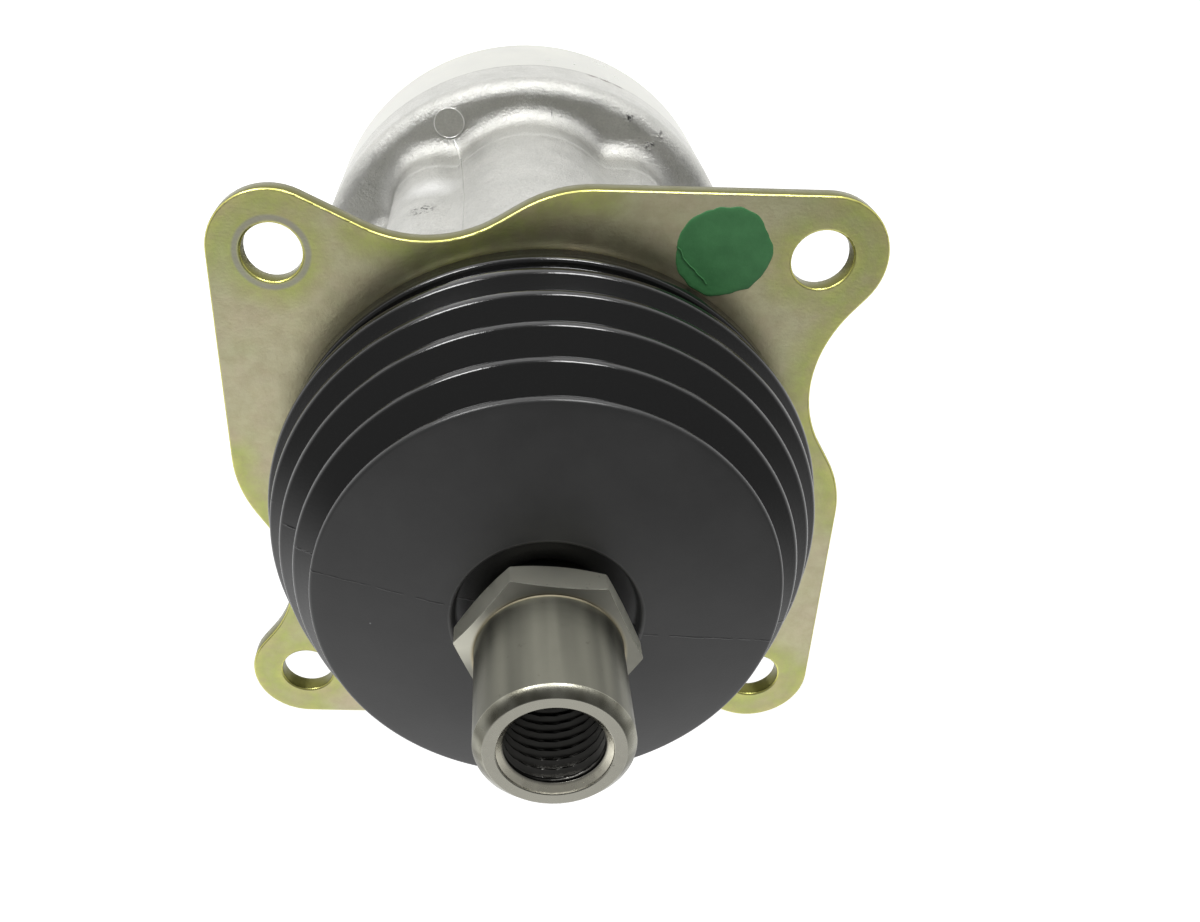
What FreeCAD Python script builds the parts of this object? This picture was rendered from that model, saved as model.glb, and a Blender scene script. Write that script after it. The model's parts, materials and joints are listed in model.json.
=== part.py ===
"""Two-axis hydraulic pilot joystick valve with its console plate, boot and lever coupling.

Millimetres. +Z is up along the lever in its middle position. The origin is the middle of
the four console holes, on the upper face of the mounting plate. The lever tilts about X
(towards -Y or +Y) and about Y (towards +X or -X) on a universal joint above the plate, and
a disc on the lever pushes one of four rods down into the casting below.
"""
import FreeCAD, Part
import math
import os

# Mounting plate
PLATE_THICK = 3.0
HOLE_PITCH = 80.0
HOLE_R = 4.5
PLATE_EAR_R = 9.7
PLATE_HALF_X = 49.3
PLATE_HALF_Y = 50.1
SCALLOP_R = 20.0
SCALLOP_RISE_R = 20.0
SIDE_SCALLOP_DEPTH = 7.8
TOP_SCALLOP_DEPTH = 8.0
SIDE_SCALLOP_RUN = 0.2
TOP_SCALLOP_RUN = 2.3
RISE_RUN = 0.3

# Casting, its lobes and its bottom flange
FLANGE_THICK = 13.9
FLANGE_ROUND = 3.8
FLANGE_FLAT = 0.1
BODY_LENGTH = 90.5
ROD_LOBE_R = 18.3
SCREW_LOBE_R = 10.0
SCREW_PITCH_R = 28.3
SCREW_ANGLE_DEG = 49.0
LOBE_FILLET = 4.2
CREASE_R = 4.6
CREASE_RUN = 0.1
EJECTOR_R = 3.1
EJECTOR_HEIGHT = 0.3
EJECTOR_INSET = 5.2
EJECTOR_ANGLE = 24.3

# Port block below the casting
BLOCK_STEP = 0.1
BLOCK_THICK = 21.5
BLOCK_EDGE = 0.8
PORT_R = 5.72
PORT_DEPTH = 12.0
PORT_FACE_R = 10.0
PORT_FACE_DEPTH = 0.6
WORK_PORT_PITCH_R = 29.0
SUPPLY_PORT_PITCH_R = 11.3
PASSAGE_R = 2.5

# Screws and pins
SCREW_R = 3.0
SCREW_HEAD_R = 5.0
SCREW_HEAD_H = 6.0
SCREW_GRIP_DEPTH = 14.0
SOCKET_AF = 5.0
SOCKET_DEPTH = 3.0
PIN_R = 2.0
PIN_LENGTH = 10.0
BLOCK_PIN_PITCH_R = 40.0
PLATE_PIN_PITCH_R = 31.0

# Universal joint
TILT_LIMIT_DEG = 19.0
SHANK_R = 7.0
SHANK_LENGTH = 24.0
BASE_HEX_AF = 24.0
BASE_HEX_H = 4.0
BASE_HEX_TURN_DEG = 30.0
EAR_R = 4.5
EAR_INNER = 6.3
EAR_WIDTH = 2.7
TRUNNION_R = 2.0
BUSH_WALL = 0.9
CROSS_ARM_R = 3.6
YOKE_CLEARANCE = 0.4
CROWN_R = 9.5
CROWN_THICK = 2.5
STUD_R = 6.0

# Lever parts above the joint
DISC_R = 25.5
DISC_THICK = 3.5
NUT_AF = 19.0
NUT_THICK = 3.5
COUPLING_FOOT_R = 9.0
COUPLING_FOOT_H = 0.5
GROOVE_R = 7.6
GROOVE_WIDTH = 1.9
HEX_AF = 22.0
HEX_BACK_Z = 35.6
HEX_FRONT_Z = 38.7
HEX_TURN_DEG = -5.16
HEX_CHAMFER = 0.9
SLEEVE_R = 9.9
SLEEVE_TOP_Z = 56.8
SLEEVE_CHAMFER = 1.2
LEVER_THREAD_R = 6.19
LEVER_THREAD_DEPTH = 16.0
LEVER_MOUTH_R = 7.15
STUD_ENGAGEMENT = 9.0

# Push rods, plugs, springs and spools
ROD_PITCH_R = 20.0
ROD_R = 4.0
ROD_DOME_R = 5.0
DISC_GAP = 0.3
ROD_FOLLOW = 1.03
CHAMBER_R = 7.5
CHAMBER_DEPTH = 59.0
PLUG_LENGTH = 14.0
SEAL_R = 6.0
SEAL_THICK = 3.2
O_RING_R = 0.9
O_RING_SQUEEZE = 0.15
SLIDE_CLEARANCE = 0.04
SEAT_FLANGE_R = 7.0
SEAT_FLANGE_H = 3.0
SEAT_NOSE_R = 2.3
SEAT_NOSE_H = 4.0
RETURN_COIL_R = 6.0
RETURN_WIRE = 1.6
RETURN_TURNS = 4
METERING_COIL_R = 3.15
METERING_WIRE = 1.0
METERING_TURNS = 4
METERING_LENGTH = 22.5
SPOOL_R = 4.0
SPOOL_COLLAR_R = 3.9
SPOOL_COLLAR_H = 2.0
SPOOL_NECK_R = 2.4
SPOOL_END_GAP = 5.5

# Boot of rubber: lip radii from the top one down, and the height of each
LIP_RADII = (33.0, 36.0, 38.7, 40.9, 42.0)
TOP_LIP_Z = 29.7
LIP_STEP = 4.95
BOOT_TOP_Z = 33.0
BOOT_MOUTH_R = 13.1
BOOT_WALL = 1.5
PLEAT_DEPTH = 4.4
PLEAT_DROP = 2.1
BEAD_R = 41.3
BEAD_H = 3.8
RETAINER_R = 39.2
RETAINER_WALL = 1.8
SOFT_GAP = 0.3

# Heights and reaches that follow from the sizes above
PLATE_BOTTOM = -PLATE_THICK
JOINT_Z = PLATE_BOTTOM - BODY_LENGTH
FLANGE_TOP = JOINT_Z + FLANGE_THICK
BLOCK_BOTTOM = JOINT_Z - BLOCK_THICK
FLANGE_R = ROD_PITCH_R + ROD_LOBE_R + LOBE_FILLET + FLANGE_FLAT + FLANGE_ROUND
BLOCK_R = FLANGE_R - BLOCK_STEP
TILT = math.radians(TILT_LIMIT_DEG)
EAR_OUTER = EAR_INNER + EAR_WIDTH
YOKE_REACH = EAR_R * math.cos(TILT) + EAR_OUTER * math.sin(TILT) + YOKE_CLEARANCE
PIVOT_Z = BASE_HEX_H + YOKE_REACH
CROWN_Z = PIVOT_Z + YOKE_REACH
DISC_Z = CROWN_Z + CROWN_THICK
NUT_Z = DISC_Z + DISC_THICK
COUPLING_Z = NUT_Z + NUT_THICK
GROOVE_Z = COUPLING_Z + COUPLING_FOOT_H
ROD_TRAVEL = ROD_FOLLOW * ROD_PITCH_R * TILT
PLUG_BOTTOM = PLATE_BOTTOM - PLUG_LENGTH
SEAT_TOP = PLUG_BOTTOM - ROD_TRAVEL - SOFT_GAP
SEAT_UNDER = SEAT_TOP - SEAT_FLANGE_H
CHAMBER_FLOOR = PLATE_BOTTOM - CHAMBER_DEPTH
COLLAR_TOP = SEAT_UNDER - METERING_LENGTH
COLLAR_UNDER = COLLAR_TOP - SPOOL_COLLAR_H
SPOOL_END = JOINT_Z + SPOOL_END_GAP
ROD_BORE_R = ROD_R + SLIDE_CLEARANCE
SPOOL_BORE_R = SPOOL_R + SLIDE_CLEARANCE
QUARTERS = (0.0, 90.0, 180.0, 270.0)
SCREW_ANGLES = (SCREW_ANGLE_DEG, 180.0 - SCREW_ANGLE_DEG, 180.0 + SCREW_ANGLE_DEG, -SCREW_ANGLE_DEG)

ORIGIN = FreeCAD.Vector(0, 0, 0)
UP = FreeCAD.Vector(0, 0, 1)


def vec(x, y, z):
    return FreeCAD.Vector(x, y, z)


def cylinder(radius, low, high, x=0.0, y=0.0):
    """Upright cylinder between two heights."""
    return Part.makeCylinder(radius, high - low, vec(x, y, low))


def ring(outer, inner, low, high):
    """Upright tube between two heights."""
    return cylinder(outer, low, high).cut(cylinder(inner, low - 1, high + 1))


def turned(start, *moves):
    """Solid turned about Z from (radius, height) points.

    A move is a point for a straight line, or (middle point, end point) for an arc.
    """
    edges = []
    here = vec(start[0], 0, start[1])
    first = here
    for move in moves:
        if isinstance(move[0], tuple):
            middle = vec(move[0][0], 0, move[0][1])
            there = vec(move[1][0], 0, move[1][1])
            edges.append(Part.Arc(here, middle, there).toShape())
        else:
            there = vec(move[0], 0, move[1])
            edges.append(Part.LineSegment(here, there).toShape())
        here = there
    edges.append(Part.LineSegment(here, first).toShape())
    return Part.Face(Part.Wire(edges)).revolve(ORIGIN, UP, 360)


def round_corner(radius, height, size, outward=1, upward=1):
    """Middle and end of a rounded outer corner, entered from the side and left inwards."""
    slack = size * (1 - math.cos(math.pi / 4))
    middle = (radius - outward * slack, height - upward * slack)
    return middle, (radius - outward * size, height)


def hexagon(across_flats, low, high, turn=0.0):
    """Hexagonal bar between two heights."""
    corner_r = across_flats / math.sqrt(3)
    corners = []
    for step in range(7):
        angle = math.radians(turn + 60 * step)
        corners.append(vec(corner_r * math.cos(angle), corner_r * math.sin(angle), low))
    return Part.Face(Part.makePolygon(corners)).extrude(vec(0, 0, high - low))


def around(shape, radius, angle):
    """The shape, made about the Z axis, turned and moved out to a place on a circle."""
    placed = shape.copy()
    placed.translate(vec(radius, 0, 0))
    placed.rotate(ORIGIN, UP, angle)
    return placed


def ring_of(shape, radius, angles=QUARTERS):
    """Copies of the shape on a circle, one for each angle."""
    return [around(shape, radius, angle) for angle in angles]


def fused(shapes):
    """One solid from several that overlap."""
    return shapes[0].multiFuse(shapes[1:]).removeSplitter()


def cut_all(shape, tools):
    """The shape with all the tools taken out."""
    return shape.cut(Part.makeCompound(tools))


def tangent(first, second):
    """Straight run that leaves one outline circle and meets the next.

    A circle is (x, y, radius, side): side 1 turns left round a convex corner, and -1
    turns right through a hollow.
    """
    span_x = second[0] - first[0]
    span_y = second[1] - first[1]
    offset = second[2] * second[3] - first[2] * first[3]
    length = math.sqrt(span_x ** 2 + span_y ** 2 - offset ** 2)
    heading = math.atan2(span_y, span_x) - math.atan2(offset, length)
    normal = (-math.sin(heading), math.cos(heading))
    ends = []
    for x, y, radius, side in (first, second):
        ends.append((x - side * radius * normal[0], y - side * radius * normal[1]))
    return ends


def arc_between(circle, start, end):
    """Arc of an outline circle from one point to another, on its own side."""
    x, y, radius, side = circle
    begin = math.atan2(start[1] - y, start[0] - x)
    sweep = side * (math.atan2(end[1] - y, end[0] - x) - begin) % (2 * math.pi)
    middle = begin + side * sweep / 2
    points = (start, (x + radius * math.cos(middle), y + radius * math.sin(middle)), end)
    return Part.Arc(*[vec(px, py, 0) for px, py in points]).toShape()


def smooth_face(circles):
    """Face bounded by arcs of the circles and the straight runs between them."""
    runs = [tangent(circles[index - 1], circle) for index, circle in enumerate(circles)]
    edges = []
    for index, circle in enumerate(circles):
        arrive = runs[index][1]
        leave = runs[(index + 1) % len(circles)][0]
        edges.append(arc_between(circle, arrive, leave))
        next_start = runs[(index + 1) % len(circles)][1]
        edges.append(Part.LineSegment(vec(*leave, 0), vec(*next_start, 0)).toShape())
    return Part.Face(Part.Wire(edges))


def reach(total, known):
    """Other leg of the triangle between the centres of two circles that touch."""
    return math.sqrt(total ** 2 - known ** 2)


def plate_half():
    """Outline circles of half the plate, from one ear round to the opposite ear."""
    ear = HOLE_PITCH / 2
    touching = PLATE_EAR_R + SCALLOP_R
    rising = SCALLOP_R + SCALLOP_RISE_R
    side_x = PLATE_HALF_X - SIDE_SCALLOP_DEPTH + SCALLOP_R
    side_y = ear - reach(touching, side_x - ear) - SIDE_SCALLOP_RUN
    side_rise_x = PLATE_HALF_X - SCALLOP_RISE_R
    side_rise_y = side_y - reach(rising, side_x - side_rise_x) - RISE_RUN
    top_y = PLATE_HALF_Y - TOP_SCALLOP_DEPTH + SCALLOP_R
    top_x = -ear + reach(touching, top_y - ear) + TOP_SCALLOP_RUN
    top_rise_y = PLATE_HALF_Y - SCALLOP_RISE_R
    top_rise_x = top_x + reach(rising, top_y - top_rise_y) + RISE_RUN
    return [
        (ear, -ear, PLATE_EAR_R, 1),
        (side_rise_x, side_rise_y, SCALLOP_RISE_R, 1),
        (side_x, side_y, SCALLOP_R, -1),
        (ear, ear, PLATE_EAR_R, 1),
        (top_rise_x, top_rise_y, SCALLOP_RISE_R, 1),
        (top_x, top_y, SCALLOP_R, -1),
    ]


def mounting_plate():
    """Pressed steel plate, the same when turned half round, with its bolt holes."""
    half = plate_half()
    circles = half + [(-x, -y, radius, side) for x, y, radius, side in half]
    plate = smooth_face(circles).extrude(vec(0, 0, PLATE_THICK))
    plate.translate(vec(0, 0, PLATE_BOTTOM))
    corner = HOLE_PITCH / 2 * math.sqrt(2)
    diagonal = [45.0 + angle for angle in QUARTERS]
    holes = ring_of(cylinder(HOLE_R, PLATE_BOTTOM - 1, 1), corner, diagonal)
    holes += ring_of(cylinder(ROD_R + 0.6, PLATE_BOTTOM - 1, 1), ROD_PITCH_R)
    holes.append(cylinder(SHANK_R, PLATE_BOTTOM - 1, 1))
    holes.append(around(cylinder(PIN_R, PLATE_BOTTOM - 1, 1), PLATE_PIN_PITCH_R, 135))
    return cut_all(plate, holes)


def lobe_circles():
    """Outline circles of the eight lobes, wide and narrow by turns, from +X round."""
    circles = []
    for rod_angle, screw_angle in zip(QUARTERS, SCREW_ANGLES):
        for turn, pitch_r, radius in ((rod_angle, ROD_PITCH_R, ROD_LOBE_R),
                                      (screw_angle, SCREW_PITCH_R, SCREW_LOBE_R)):
            heading = math.radians(turn)
            circles.append((pitch_r * math.cos(heading), pitch_r * math.sin(heading), radius, 1))
    return circles


def crease(first, second):
    """Outline circle of the hollow that joins one lobe to the next."""
    from_first = first[2] + CREASE_R + CREASE_RUN
    from_second = second[2] + CREASE_R + CREASE_RUN
    span_x = second[0] - first[0]
    span_y = second[1] - first[1]
    span = math.hypot(span_x, span_y)
    along = (span ** 2 + from_first ** 2 - from_second ** 2) / (2 * span)
    beside = reach(from_first, along)
    x = first[0] + (along * span_x + beside * span_y) / span
    y = first[1] + (along * span_y - beside * span_x) / span
    return x, y, CREASE_R, -1


def casting_outside():
    """Lobed column on a round flange, with the fillet between them and the ejector marks."""
    lobes = lobe_circles()
    circles = []
    for index, circle in enumerate(lobes):
        circles += [crease(lobes[index - 1], circle), circle]
    column = smooth_face(circles).extrude(vec(0, 0, PLATE_BOTTOM - JOINT_Z))
    column.translate(vec(0, 0, JOINT_Z))
    casting = fused([cylinder(FLANGE_R, JOINT_Z, FLANGE_TOP), column])
    foot = [edge for edge in casting.Edges if edge_at(edge, FLANGE_TOP, 0, FLANGE_R - 1)]
    casting = casting.makeFillet(LOBE_FILLET, foot)
    rim = [edge for edge in casting.Edges if edge_at(edge, FLANGE_TOP, FLANGE_R - 1, FLANGE_R + 1)]
    casting = casting.makeFillet(FLANGE_ROUND, rim)
    mark = cylinder(EJECTOR_R, FLANGE_TOP - EJECTOR_R, FLANGE_TOP + EJECTOR_HEIGHT)
    marks = ring_of(mark, FLANGE_R - EJECTOR_INSET, [EJECTOR_ANGLE + angle for angle in QUARTERS])
    return fused([casting] + marks)


def edge_at(edge, height, inner, outer):
    """Whether an edge lies level at a height, between two distances from the axis."""
    box = edge.BoundBox
    middle = edge.valueAt((edge.FirstParameter + edge.LastParameter) / 2)
    level = abs(box.ZMin - height) < 0.01 and abs(box.ZMax - height) < 0.01
    return level and inner < math.hypot(middle.x, middle.y) < outer


def valve_body():
    """Die-cast body with its four spring chambers, spool bores and screw holes."""
    chamber = cylinder(CHAMBER_R, CHAMBER_FLOOR, PLATE_BOTTOM + 1)
    spool_bore = cylinder(SPOOL_BORE_R, JOINT_Z - 1, CHAMBER_FLOOR + 1)
    tools = ring_of(chamber.fuse(spool_bore), ROD_PITCH_R)
    tapped = cylinder(SCREW_R, JOINT_Z - 1, JOINT_Z + SCREW_GRIP_DEPTH)
    tools += ring_of(tapped, SCREW_PITCH_R, SCREW_ANGLES)
    tools.append(cylinder(SHANK_R, -SHANK_LENGTH, PLATE_BOTTOM + 1))
    dowel = cylinder(PIN_R, JOINT_Z - 1, JOINT_Z + PIN_LENGTH / 2)
    tools += ring_of(dowel, BLOCK_PIN_PITCH_R, (22.5, 202.5))
    plate_dowel = cylinder(PIN_R, -PIN_LENGTH, PLATE_BOTTOM + 1)
    tools.append(around(plate_dowel, PLATE_PIN_PITCH_R, 135))
    return cut_all(casting_outside(), tools)


def port_tool():
    """Threaded port with its spot face, cut upwards from the bottom of the block."""
    thread = cylinder(PORT_R, BLOCK_BOTTOM - 1, BLOCK_BOTTOM + PORT_DEPTH)
    spot_face = cylinder(PORT_FACE_R, BLOCK_BOTTOM - 1, BLOCK_BOTTOM + PORT_FACE_DEPTH)
    passage = cylinder(PASSAGE_R, BLOCK_BOTTOM, JOINT_Z + 1)
    return fused([thread, spot_face, passage])


def port_block():
    """Turned block with the supply, return and four work ports in its bottom face."""
    block = turned(
        (0, BLOCK_BOTTOM), (BLOCK_R - BLOCK_EDGE, BLOCK_BOTTOM),
        (BLOCK_R, BLOCK_BOTTOM + BLOCK_EDGE), (BLOCK_R, JOINT_Z - BLOCK_EDGE / 2),
        (BLOCK_R - BLOCK_EDGE / 2, JOINT_Z), (0, JOINT_Z),
    )
    tools = ring_of(port_tool(), WORK_PORT_PITCH_R)
    tools += ring_of(port_tool(), SUPPLY_PORT_PITCH_R, (45, 225))
    screw_way = cylinder(SCREW_R, BLOCK_BOTTOM - 1, JOINT_Z + 1)
    head_way = cylinder(SCREW_HEAD_R + 0.5, BLOCK_BOTTOM - 1, screw_head_top())
    tools += ring_of(screw_way.fuse(head_way), SCREW_PITCH_R, SCREW_ANGLES)
    dowel = cylinder(PIN_R, JOINT_Z - PIN_LENGTH / 2, JOINT_Z + 1)
    tools += ring_of(dowel, BLOCK_PIN_PITCH_R, (22.5, 202.5))
    tools += ring_of(seal_groove(), ROD_PITCH_R)
    return cut_all(block, tools)


def screw_head_top():
    """Height of the shoulder that the screw heads pull against."""
    return BLOCK_BOTTOM + SCREW_HEAD_H + 1.0


def seal_groove():
    """Groove round each spool bore in the upper face of the block."""
    outer = SPOOL_BORE_R + 3 * O_RING_R
    return ring(outer, outer - 2 * O_RING_R, JOINT_Z - 2 * O_RING_R, JOINT_Z + 1)


def block_seals():
    """Four face seals between the casting and the block."""
    middle = SPOOL_BORE_R + 2 * O_RING_R
    seal = ring(middle + O_RING_R, middle - O_RING_R, JOINT_Z - 2 * O_RING_R, JOINT_Z)
    return Part.makeCompound(ring_of(seal, ROD_PITCH_R))


def block_screws():
    """Four socket head screws that pull the block up to the casting."""
    top = screw_head_top()
    head = cylinder(SCREW_HEAD_R, top - SCREW_HEAD_H, top)
    socket = hexagon(SOCKET_AF, top - SCREW_HEAD_H - 1, top - SCREW_HEAD_H + SOCKET_DEPTH)
    shank = cylinder(SCREW_R, top, JOINT_Z + SCREW_GRIP_DEPTH - 2)
    screw = head.fuse(shank).cut(socket)
    return Part.makeCompound(ring_of(screw, SCREW_PITCH_R, SCREW_ANGLES))


def locating_pins():
    """Two dowels between block and casting, and one between casting and plate."""
    low_pin = cylinder(PIN_R, JOINT_Z - PIN_LENGTH / 2, JOINT_Z + PIN_LENGTH / 2)
    pins = ring_of(low_pin, BLOCK_PIN_PITCH_R, (22.5, 202.5))
    pins.append(around(cylinder(PIN_R, -PIN_LENGTH, 0), PLATE_PIN_PITCH_R, 135))
    return Part.makeCompound(pins)


def yoke_ears(low, toward):
    """Pair of rounded ears on the X axis of the joint, down or up to a height."""
    ears = []
    for side in (-1, 1):
        start = side * EAR_INNER if side > 0 else -EAR_OUTER
        eye = Part.makeCylinder(EAR_R, EAR_WIDTH, vec(start, 0, PIVOT_Z), vec(1, 0, 0))
        bottom = min(low, toward)
        leg = Part.makeBox(EAR_WIDTH, 2 * EAR_R, abs(toward - low), vec(start, -EAR_R, bottom))
        ears.append(eye.fuse(leg))
    return ears


def trunnion_way():
    """Hole through both ears for the bushes of the cross."""
    span = 2 * EAR_OUTER + 2
    hole_r = TRUNNION_R + SLIDE_CLEARANCE + BUSH_WALL
    return Part.makeCylinder(hole_r, span, vec(-span / 2, 0, PIVOT_Z), vec(1, 0, 0))


def joint_base():
    """Lower fork, screwed through the plate into the casting by its hexagon."""
    ears = yoke_ears(PIVOT_Z, BASE_HEX_H - 1)
    shank = cylinder(SHANK_R, -SHANK_LENGTH, 1)
    base = hexagon(BASE_HEX_AF, 0, BASE_HEX_H, BASE_HEX_TURN_DEG)
    body = fused([base, shank] + ears)
    return body.cut(trunnion_way())


def joint_yoke():
    """Upper fork with the crown and the stud that carries the disc and the lever."""
    ears = yoke_ears(PIVOT_Z, CROWN_Z + 1)
    crown = cylinder(CROWN_R, CROWN_Z, DISC_Z)
    stud = cylinder(STUD_R, CROWN_Z + 1, COUPLING_Z + STUD_ENGAGEMENT)
    body = fused([crown, stud] + ears).cut(trunnion_way())
    body.rotate(ORIGIN, UP, 90)
    return body


def joint_cross():
    """Spider with two trunnions for each fork."""
    arm = CROSS_ARM_R
    core = EAR_INNER - YOKE_CLEARANCE
    pin = EAR_OUTER - YOKE_CLEARANCE / 2
    shapes = []
    for direction in (vec(1, 0, 0), vec(0, 1, 0)):
        for radius, half in ((arm, core), (TRUNNION_R, pin)):
            start = vec(0, 0, PIVOT_Z) - direction * half
            shapes.append(Part.makeCylinder(radius, 2 * half, start, direction))
    return fused(shapes)


def bushes(turn):
    """Two plain bushes pressed into the ears of one fork."""
    inner_r = TRUNNION_R + SLIDE_CLEARANCE
    made = []
    for start in (EAR_INNER, -EAR_OUTER):
        base = vec(start, 0, PIVOT_Z)
        outer = Part.makeCylinder(inner_r + BUSH_WALL, EAR_WIDTH, base, vec(1, 0, 0))
        bush = outer.cut(Part.makeCylinder(inner_r, EAR_WIDTH, base, vec(1, 0, 0)))
        bush.rotate(ORIGIN, UP, turn)
        made.append(bush)
    return Part.makeCompound(made)


def swash_disc():
    """Hardened disc that pushes the rods."""
    edge = 0.5
    return turned(
        (STUD_R, DISC_Z), (DISC_R - edge, DISC_Z), (DISC_R, DISC_Z + edge),
        (DISC_R, NUT_Z - edge), (DISC_R - edge, NUT_Z), (STUD_R, NUT_Z),
    )


def disc_lock_nut():
    """Thin nut that locks the disc on the stud."""
    return hexagon(NUT_AF, NUT_Z, COUPLING_Z).cut(cylinder(STUD_R, NUT_Z - 1, COUPLING_Z + 1))


def chamfered_hexagon():
    """Spanner hexagon of the coupling, turned down at its lower corners."""
    corner_r = HEX_AF / math.sqrt(3)
    flat_r = HEX_AF / 2
    blank = turned(
        (0, HEX_BACK_Z), (flat_r, HEX_BACK_Z), (corner_r + 0.2, HEX_BACK_Z + HEX_CHAMFER),
        (corner_r + 0.2, HEX_FRONT_Z), (0, HEX_FRONT_Z),
    )
    return hexagon(HEX_AF, HEX_BACK_Z, HEX_FRONT_Z, HEX_TURN_DEG).common(blank)


def lever_coupling():
    """Hexagon sleeve screwed on the stud, with the thread for the lever in its top."""
    foot = cylinder(COUPLING_FOOT_R, COUPLING_Z, GROOVE_Z)
    groove = cylinder(GROOVE_R, COUPLING_Z, HEX_BACK_Z)
    shank = cylinder(COUPLING_FOOT_R, GROOVE_Z + GROOVE_WIDTH, HEX_BACK_Z + 1)
    sleeve = turned(
        (0, HEX_BACK_Z), (SLEEVE_R, HEX_BACK_Z), (SLEEVE_R, SLEEVE_TOP_Z - SLEEVE_CHAMFER),
        (SLEEVE_R - SLEEVE_CHAMFER, SLEEVE_TOP_Z), (0, SLEEVE_TOP_Z),
    )
    body = fused([foot, groove, shank, chamfered_hexagon(), sleeve])
    mouth = LEVER_MOUTH_R - LEVER_THREAD_R
    thread = turned(
        (0, SLEEVE_TOP_Z - LEVER_THREAD_DEPTH), (LEVER_THREAD_R, SLEEVE_TOP_Z - LEVER_THREAD_DEPTH),
        (LEVER_THREAD_R, SLEEVE_TOP_Z - mouth), (LEVER_MOUTH_R, SLEEVE_TOP_Z),
        (LEVER_MOUTH_R, SLEEVE_TOP_Z + 1), (0, SLEEVE_TOP_Z + 1),
    )
    lower_thread = cylinder(STUD_R, COUPLING_Z - 1, COUPLING_Z + STUD_ENGAGEMENT)
    return cut_all(body, [thread, lower_thread])


def push_rod():
    """Rod with a domed tip just under the disc."""
    tip = DISC_Z - DISC_GAP
    centre = tip - ROD_DOME_R
    shoulder = centre + reach(ROD_DOME_R, ROD_R)
    half_angle = (math.pi / 2 + math.acos(ROD_R / ROD_DOME_R)) / 2
    middle = (ROD_DOME_R * math.cos(half_angle), centre + ROD_DOME_R * math.sin(half_angle))
    return turned((0, SEAT_TOP), (ROD_R, SEAT_TOP), (ROD_R, shoulder), (middle, (0, tip)))


def guide_plug():
    """Plug that guides a rod and closes its chamber, held down by the plate."""
    outer = CHAMBER_R - SLIDE_CLEARANCE
    plug = ring(outer, ROD_BORE_R, PLUG_BOTTOM, PLATE_BOTTOM)
    seal_seat = cylinder(SEAL_R, PLATE_BOTTOM - SEAL_THICK, PLATE_BOTTOM + 1)
    groove_z = plug_groove_z()
    groove = ring(outer + 1, CHAMBER_R - 2 * O_RING_R + O_RING_SQUEEZE,
                  groove_z - 1.3 * O_RING_R, groove_z + 1.3 * O_RING_R)
    return cut_all(plug, [seal_seat, groove])


def plug_groove_z():
    """Height of the middle of the seal groove round a plug."""
    return PLATE_BOTTOM - SEAL_THICK - (PLUG_LENGTH - SEAL_THICK) / 2


def plug_o_ring():
    """Square section ring that seals a plug in its chamber."""
    middle = plug_groove_z()
    inner = CHAMBER_R - 2 * O_RING_R + O_RING_SQUEEZE
    return ring(CHAMBER_R, inner, middle - O_RING_R, middle + O_RING_R)


def rod_seal():
    """Lip seal round a rod, in the top of its plug."""
    low = PLATE_BOTTOM - SEAL_THICK
    lip = (ROD_R + SEAL_R) / 2
    return turned(
        (ROD_BORE_R, low), (SEAL_R, low), (SEAL_R, PLATE_BOTTOM),
        (lip, PLATE_BOTTOM), (lip, low + SEAL_THICK / 2), (ROD_BORE_R + 0.3, PLATE_BOTTOM),
    )


def spring_seat():
    """Cup under a rod that both springs push up."""
    return turned(
        (0, SEAT_UNDER - SEAT_NOSE_H), (SEAT_NOSE_R, SEAT_UNDER - SEAT_NOSE_H),
        (SEAT_NOSE_R, SEAT_UNDER), (SEAT_FLANGE_R, SEAT_UNDER), (SEAT_FLANGE_R, SEAT_TOP),
        (0, SEAT_TOP),
    )


def coil_spring(coil_r, wire, turns, low, high):
    """Coil spring of square section wire between two flat seats."""
    rise = high - low - wire
    path = Part.makeHelix(rise / turns, rise, coil_r)
    path.translate(vec(0, 0, low + wire / 2))
    half = wire / 2
    corners = [(-half, -half), (half, -half), (half, half), (-half, half), (-half, -half)]
    section = Part.makePolygon([vec(coil_r + dx, 0, low + half + dz) for dx, dz in corners])
    return path.makePipeShell([section], True, True)


def return_spring():
    """Outer spring that lifts the seat, the rod and the lever back."""
    return coil_spring(RETURN_COIL_R, RETURN_WIRE, RETURN_TURNS, CHAMBER_FLOOR, SEAT_UNDER)


def metering_spring():
    """Inner spring between the seat and the spool that sets the pilot pressure."""
    return coil_spring(METERING_COIL_R, METERING_WIRE, METERING_TURNS, COLLAR_TOP, SEAT_UNDER)


def spool():
    """Spool with its spring collar, two lands and the metering neck between them."""
    land_top = CHAMBER_FLOOR + SPOOL_COLLAR_H
    land = (land_top - SPOOL_END - 2 * SPOOL_NECK_R) / 2
    pilot_top = COLLAR_TOP + SPOOL_COLLAR_H
    return turned(
        (0, SPOOL_END), (SPOOL_R, SPOOL_END), (SPOOL_R, SPOOL_END + land),
        (SPOOL_NECK_R, SPOOL_END + land), (SPOOL_NECK_R, land_top - land),
        (SPOOL_R, land_top - land), (SPOOL_R, land_top), (SPOOL_NECK_R, land_top),
        (SPOOL_NECK_R, COLLAR_UNDER), (SPOOL_COLLAR_R, COLLAR_UNDER),
        (SPOOL_COLLAR_R, COLLAR_TOP), (SEAT_NOSE_R, COLLAR_TOP), (SEAT_NOSE_R, pilot_top),
        (0, pilot_top),
    )


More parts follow.
